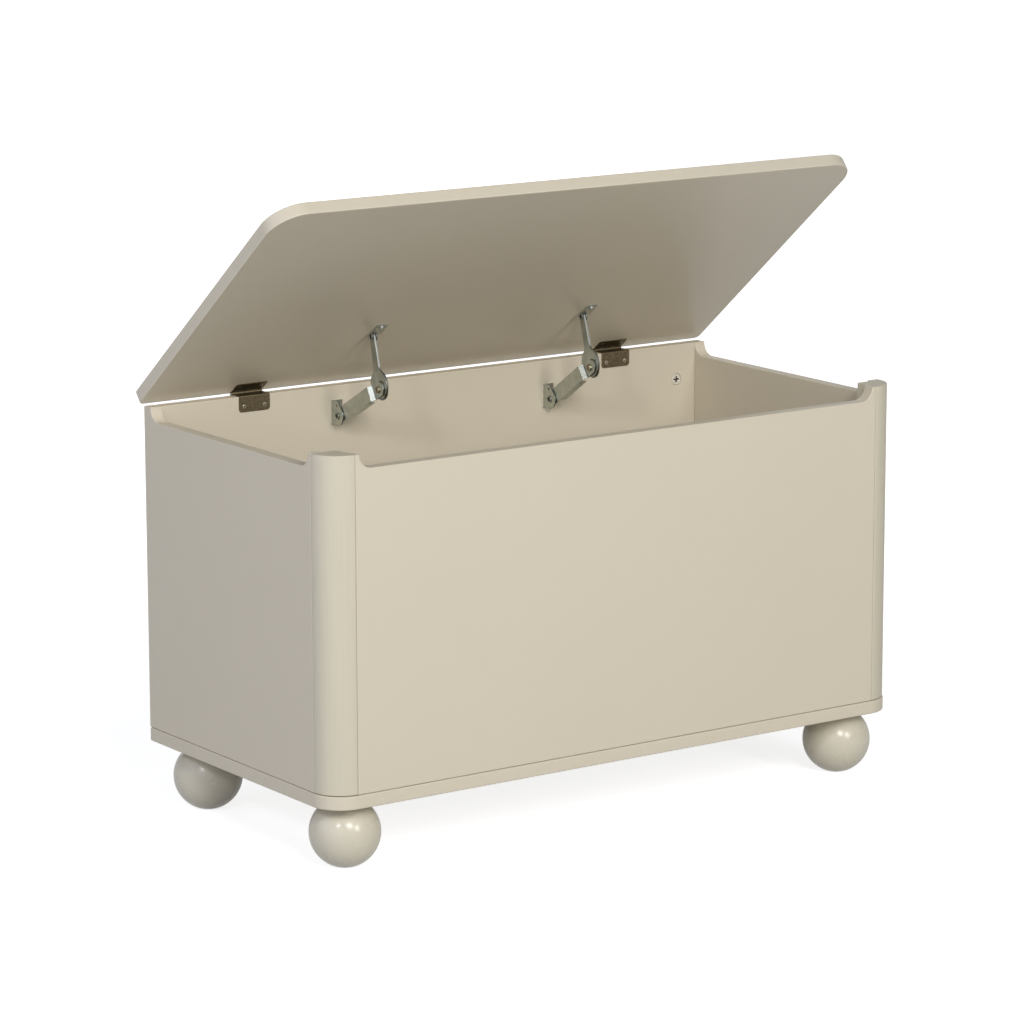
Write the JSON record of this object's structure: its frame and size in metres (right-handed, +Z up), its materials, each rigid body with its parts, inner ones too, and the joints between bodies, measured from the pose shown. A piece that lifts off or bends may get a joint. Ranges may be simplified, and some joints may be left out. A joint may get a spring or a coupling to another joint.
{
  "type": "toy chest",
  "caption": "Toy chest on turned ball feet, with a hinged lid held by friction stays, quarter-round front posts and panel edges scooped for fingers.",
  "frame": {"origin": "on the floor under the middle of the chest, measured with its open lid", "axes": "+Z up, front faces -Y, +X to the right seen from the front"},
  "size_m": [0.85, 0.4277, 0.7759],
  "materials": {
    "painted_board": "satin paint",
    "foot_paint": "semi-gloss paint",
    "hinge_bronze": "antique bronze plating",
    "stay_zinc": "bright zinc plating",
    "adjuster_brass": "satin",
    "cam_zinc": "cast zinc",
    "fixing_steel": "zinc plating",
    "dowel_wood": "bare beech"
  },
  "bodies": {
    "chest": {"base_board": "painted_board", "front_panel": "painted_board", "left_side_panel": "painted_board", "right_side_panel": "painted_board", "back_panel": "painted_board", "left_front_post": "painted_board", "right_front_post": "painted_board", "front_left_foot": "foot_paint", "front_right_foot": "foot_paint", "rear_left_foot": "foot_paint", "rear_right_foot": "foot_paint", "dowels": "dowel_wood", "cam_locks": "cam_zinc", "foot_hanger_bolts": "fixing_steel", "foot_insert_nuts": "fixing_steel", "cam_bolts": "fixing_steel", "base_screws": "fixing_steel", "stay_wall_screws": "fixing_steel", "left_hinge_pin": "fixing_steel", "right_hinge_pin": "fixing_steel", "left_hinge_fixed_leaf": "hinge_bronze", "left_stay_wall_bracket": "stay_zinc", "left_stay_wall_rivet": "stay_zinc", "right_hinge_fixed_leaf": "hinge_bronze", "right_stay_wall_bracket": "stay_zinc", "right_stay_wall_rivet": "stay_zinc", "hinge_wall_screws": "hinge_bronze"},
    "lid": {"lid_panel": "painted_board", "hinge_lid_screws": "hinge_bronze", "stay_lid_screws": "fixing_steel", "left_hinge_lid_leaf": "hinge_bronze", "left_stay_lid_bracket": "stay_zinc", "left_stay_lid_rivet": "stay_zinc", "right_hinge_lid_leaf": "hinge_bronze", "right_stay_lid_bracket": "stay_zinc", "right_stay_lid_rivet": "stay_zinc"},
    "left_arm": {"left_stay_arm": "stay_zinc", "left_stay_elbow_pin": "adjuster_brass"},
    "left_link": {"left_stay_link": "stay_zinc"},
    "right_arm": {"right_stay_arm": "stay_zinc", "right_stay_elbow_pin": "adjuster_brass"},
    "right_link": {"right_stay_link": "stay_zinc"}
  },
  "joints": [
    {"name": "lid_hinge", "type": "hinge", "parent": "chest", "child": "lid", "pos_m": [0, 0.202, 0.4992], "axis": [-1, 0, 0], "range_deg": [-39.15, 27.1]},
    {"name": "left_arm_pivot", "type": "hinge", "parent": "chest", "child": "left_arm", "pos_m": [-0.159, 0.1695, 0.462], "axis": [-1, 0, 0], "range_deg": [-48.9, 33.9]},
    {"name": "left_link_pivot", "type": "hinge", "parent": "lid", "child": "left_link", "pos_m": [-0.151, 0.10587, 0.56957], "axis": [-1, 0, 0], "range_deg": [-18.7, 27]},
    {"name": "right_arm_pivot", "type": "hinge", "parent": "chest", "child": "right_arm", "pos_m": [0.163, 0.1695, 0.4495], "axis": [-1, 0, 0], "range_deg": [-46.1, 31.9]},
    {"name": "right_link_pivot", "type": "hinge", "parent": "lid", "child": "right_link", "pos_m": [0.171, 0.11366, 0.56329], "axis": [-1, 0, 0], "range_deg": [-24.4, 35.2]}
  ],
  "couplings": [
    {"joint": "left_arm_pivot", "follows": "lid_hinge", "ratio": 1.248},
    {"joint": "left_link_pivot", "follows": "lid_hinge", "ratio": -0.688},
    {"joint": "right_arm_pivot", "follows": "lid_hinge", "ratio": 1.175},
    {"joint": "right_link_pivot", "follows": "lid_hinge", "ratio": -0.897}
  ]
}
